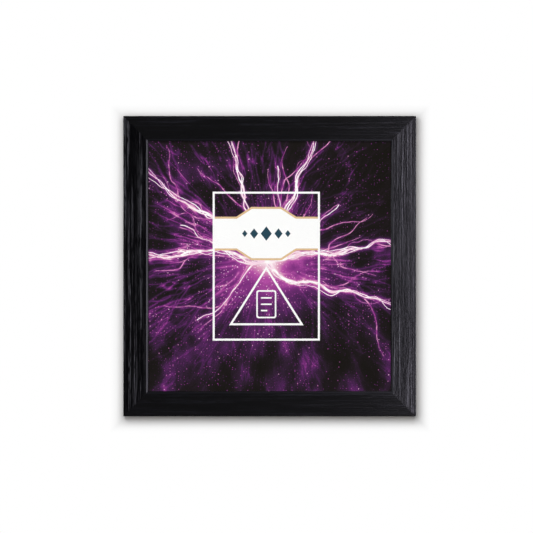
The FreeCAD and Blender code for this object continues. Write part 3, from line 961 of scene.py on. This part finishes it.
# %% Hardboard and steel
BOARD_DARK, BOARD_LIGHT, BOARD_FLECK = colour(92, 62, 40), colour(142, 103, 70), colour(66, 43, 28)
BOARD_FIBRE, BOARD_STRETCH = 0.7 * MM, (1, 1, 0.5)
BOARD_FLECKS, FLECK_EDGE, FLECK_SHARE = 1.4 * MM, (0.62, 0.7), 0.5
BOARD_ROUGHNESS, FIBRE_ROUGHNESS, BOARD_RELIEF = 0.62, 0.2, 0.05 * MM
ZINC_DARK, ZINC_LIGHT = colour(168, 170, 172), colour(214, 215, 216)
CRYSTAL_SIZE, CRYSTAL_SHARE = 1.8 * MM, 0.6
RUB_SIZE, RUB_STRETCH, RUB_RELIEF = 0.25 * MM, (0.08, 1, 1), 0.01 * MM
ZINC_ROUGHNESS, RUB_ROUGHNESS, CRYSTAL_ROUGHNESS = 0.26, 0.16, 0.06


def hardboard():
    finish = Finish("hardboard")
    fibres = finish.mapped(BOARD_STRETCH)
    fibres = finish.noise(fibres, BOARD_FIBRE, detail=5.0, roughness=0.7, distortion=1.0)
    flecks = finish.fade(finish.noise(finish.mapped(), BOARD_FLECKS), *FLECK_EDGE)
    base = finish.mix(fibres, BOARD_DARK, BOARD_LIGHT)
    return finish.surface(
        Base_Color=finish.mix(flecks * FLECK_SHARE, base, BOARD_FLECK),
        Roughness=BOARD_ROUGHNESS + fibres * FIBRE_ROUGHNESS,
        Normal=finish.bump(fibres, BOARD_RELIEF),
    )


def plated_steel():
    finish = Finish("zinc_plated_steel")
    cells = {"Vector": finish.mapped(), "Scale": 1 / CRYSTAL_SIZE}
    crystals = finish.node("ShaderNodeTexVoronoi", {"feature": "F1"}, cells)
    crystal = finish.parts(crystals.out("Color"))[0]
    wear_and_painted_highlight = finish.noise(finish.mapped(RUB_STRETCH), RUB_SIZE, detail=3.0)
    tone = crystal * CRYSTAL_SHARE + wear_and_painted_highlight * (1 - CRYSTAL_SHARE)
    return finish.surface(
        Base_Color=finish.mix(tone, ZINC_DARK, ZINC_LIGHT),
        Metallic=1.0,
        Roughness=ZINC_ROUGHNESS + wear_and_painted_highlight * RUB_ROUGHNESS + crystal * CRYSTAL_ROUGHNESS,
        Normal=finish.bump(wear_and_painted_highlight, RUB_RELIEF),
    )


dress(["back_board"], hardboard())
steel_nodes = [n for n in nodes if n.startswith(("board_point", "v_nail", "hanger_pin", "sawtooth"))]
dress(steel_nodes, plated_steel())
print(f"hardboard, and {len(steel_nodes)} pieces of steel")

# %% [markdown]
# The frame hangs on a plain white wall above a pale floor. Close to the frame the wall is painted and takes
# its shadow, and as far out as the shadow reaches it fades to an even white. The shadow falls down and to the
# right, so the painted part is moved that way too. The wall is there for views from the front only: where a
# camera looks from behind, its back face is clear. A black card in the gap behind the frame, which only
# bounced light meets, keeps the brown of the bare back off the wall.

# %% Wall and floor
WALL_GAP = 0.3 * MM
ROOM_HALF, FLOOR_DROP = 1.6, 0.35
COVE_RADIUS, COVE_STEPS = 0.1, 12
SHADOW_REACH, SHADOW_SHIFT, SHADOW_DROP = 9.5 * MM, 0.5 * MM, 1.3 * MM
WALL_PAINT, WHITE, CARD_BLACK = colour(231, 231, 231), colour(255, 255, 255), colour(4, 4, 4)


def wall_finish():
    finish = Finish("white_wall")
    from_behind = finish.node("ShaderNodeNewGeometry").out("Backfacing")
    x, y, z = finish.parts(finish.place())
    beside = abs(x - SHADOW_SHIFT) - frame_width / 2
    above = abs(z - middle_z + SHADOW_DROP) - frame_height / 2
    far = finish.fade(beside.greater(above), 0.0, SHADOW_REACH)
    paint = finish.node("ShaderNodeBsdfDiffuse", {}, {"Color": WALL_PAINT})
    even = finish.node("ShaderNodeEmission", {}, {"Color": WHITE, "Strength": 1.0})
    shown = finish.node("ShaderNodeMixShader", {}, {0: far, 1: paint, 2: even})
    clear = finish.node("ShaderNodeBsdfTransparent")
    return finish.finished(finish.node("ShaderNodeMixShader", {}, {0: from_behind, 1: shown, 2: clear}))


def wall_and_floor():
    """A wall behind the hanger that turns into a floor by a round cove."""
    wall_y = hanger_high.y + WALL_GAP
    bm = bmesh.new()
    edge = [bm.verts.new((-ROOM_HALF, wall_y, z)) for z in (ROOM_HALF, -FLOOR_DROP)]
    bm.edges.new(edge)
    centre, turn = (0, wall_y - COVE_RADIUS, -FLOOR_DROP), math.radians(-90)
    spun = bmesh.ops.spin(
        bm, geom=[edge[1]], cent=centre, axis=(1, 0, 0), angle=turn, steps=COVE_STEPS
    )
    last = next(v for v in spun["geom_last"] if isinstance(v, bmesh.types.BMVert))
    out = bmesh.ops.extrude_vert_indiv(bm, verts=[last])["verts"]
    bmesh.ops.translate(bm, vec=(0, -2 * ROOM_HALF, 0), verts=out)
    wide = bmesh.ops.extrude_edge_only(bm, edges=bm.edges[:])["geom"]
    bmesh.ops.translate(
        bm, vec=(2 * ROOM_HALF, 0, 0), verts=[v for v in wide if isinstance(v, bmesh.types.BMVert)]
    )
    bmesh.ops.reverse_faces(bm, faces=bm.faces)
    return piece_from(bm, "wall")


wall = wall_and_floor()
wall.data.materials.append(wall_finish())
wall.visible_diffuse = wall.visible_glossy = wall.visible_shadow = False
bpy.context.scene.collection.objects.link(wall)


def black_card():
    """A black sheet as large as the frame, halfway between its back and the wall."""
    bm = bmesh.new()
    front_grid(bm, (0, (back_y + hanger_high.y) / 2, middle_z), frame_width, frame_height)
    piece = piece_from(bm, "black_card")
    piece.data.materials.append(Finish("black_card").surface(Base_Color=CARD_BLACK, Roughness=1.0))
    return piece


card = black_card()
card.visible_camera = card.visible_glossy = card.visible_shadow = card.visible_transmission = False
bpy.context.scene.collection.objects.link(card)
print("white wall and floor, and a black card behind the frame")

# %% [markdown]
# In front, a photographer hangs black cloth round the camera, so that the glazing has nothing bright to
# mirror. Here it is half of a dome that only reflections can see.

# %% Black cloth
CLOTH_RADIUS, CLOTH_BLACK = 3.0, colour(8, 8, 8)


def black_cloth():
    bm = bmesh.new()
    bmesh.ops.create_icosphere(bm, subdivisions=4, radius=CLOTH_RADIUS)
    everything = bm.verts[:] + bm.edges[:] + bm.faces[:]
    bmesh.ops.bisect_plane(bm, geom=everything, plane_co=(0, 0, 0), plane_no=(0, 1, 0), clear_outer=True)
    piece = piece_from(bm, "black_cloth")
    piece.data.materials.append(Finish("black_cloth").surface(Base_Color=CLOTH_BLACK, Roughness=1.0))
    return piece


cloth = black_cloth()
cloth.visible_camera = cloth.visible_diffuse = cloth.visible_shadow = cloth.visible_transmission = False
bpy.context.scene.collection.objects.link(cloth)
print("black cloth round the camera")

# %% [markdown]
# One wide soft lamp in front lights the print evenly. It hangs a little higher than the frame and to the
# left, so the shadow on the wall shows on all sides and is deeper below and on the right. Two narrow lamps
# share one place close by on the right and skim the grain, a tall one for the upright rails and one for the
# level rails that is no taller than the frame, so that it never shines along the rails' top and bottom. Light
# linking tells each of them which rails it may light, or the glazing would mirror it as a grey sheet. Two
# lamps behind the wall light views of the back. A lamp's place is its distance in metres, and how far round
# and how far up it stands, in degrees.

# %% Lamps
KEY_AT, KEY_SIZE, KEY_POWER = (1.2, -2.9, 6.0), 0.5, 15.7
BACK_SIDES = {"back_left_lamp": 150, "back_right_lamp": -150}
BACK_DISTANCE, BACK_ELEVATION, BACK_SIZE, BACK_POWER = 1.1, 20, 0.6, 6
SKIM_AT, SKIM_WIDTH, SKIM_HEIGHTS = (0.19, 62, 0), 0.12, {"upright": 0.34, "level": 0.178}
SKIM_TINT, SKIM_POWER_PER_METRE = (0.89, 0.84, 1.0), 3.9

middle = Vector((0, 0, middle_z))


def around(distance, azimuth, elevation):
    """A place at a distance from the frame's middle, by the angles in degrees from straight in front."""
    a, e = math.radians(azimuth), math.radians(elevation)
    way = Vector((math.sin(a) * math.cos(e), -math.cos(a) * math.cos(e), math.sin(e)))
    return middle + distance * way


def lamp(name, place, width, height, power, **seen):
    """A flat lamp that looks from its place at the frame's middle."""
    data = bpy.data.lights.new(name, "AREA")
    data.shape = "RECTANGLE"
    data.size, data.size_y = width, height
    data.energy = power
    made = bpy.data.objects.new(name, data)
    made.location = place
    made.rotation_euler = (middle - place).to_track_quat("-Z", "Y").to_euler()
    made.visible_camera = False
    for way, shown in seen.items():
        setattr(made, way, shown)
    bpy.context.scene.collection.objects.link(made)
    return made


lamp("key_lamp", around(*KEY_AT), KEY_SIZE, KEY_SIZE, KEY_POWER, visible_glossy=False)
for name, azimuth in BACK_SIDES.items():
    place = around(BACK_DISTANCE, azimuth, BACK_ELEVATION)
    lamp(name, place, BACK_SIZE, BACK_SIZE, BACK_POWER, visible_glossy=False)
for kind, height in SKIM_HEIGHTS.items():
    power = SKIM_POWER_PER_METRE * height
    name = f"{kind}_skimming_lamp"
    skimming = lamp(name, around(*SKIM_AT), SKIM_WIDTH, height, power, visible_diffuse=False)
    skimming.data.color = SKIM_TINT
    lit = bpy.data.collections.new(f"{kind}_rails")
    for rail in RAILS[kind]:
        lit.objects.link(nodes[rail])
    skimming.light_linking.receiver_collection = lit
print("five lamps")

# %% [markdown]
# The world is white where the camera, a mirror or clear glass sees it, and only a dim grey where it lights
# paint.

# %% World
AMBIENT = 0.02


def white_world():
    finish = Finish("white_world", world=True)
    path = finish.node("ShaderNodeLightPath")
    seen = path.out("Is Camera Ray").greater(path.out("Is Glossy Ray"))
    seen = seen.greater(path.out("Is Transmission Ray"))
    strength = AMBIENT + seen * (1 - AMBIENT)
    light = finish.node("ShaderNodeBackground", {}, {"Color": WHITE, "Strength": strength})
    finish.node("ShaderNodeOutputWorld", {}, {"Surface": light})
    return finish.made


bpy.context.scene.world = white_world()
bpy.context.scene.view_settings.view_transform = "Standard"
print("white world")
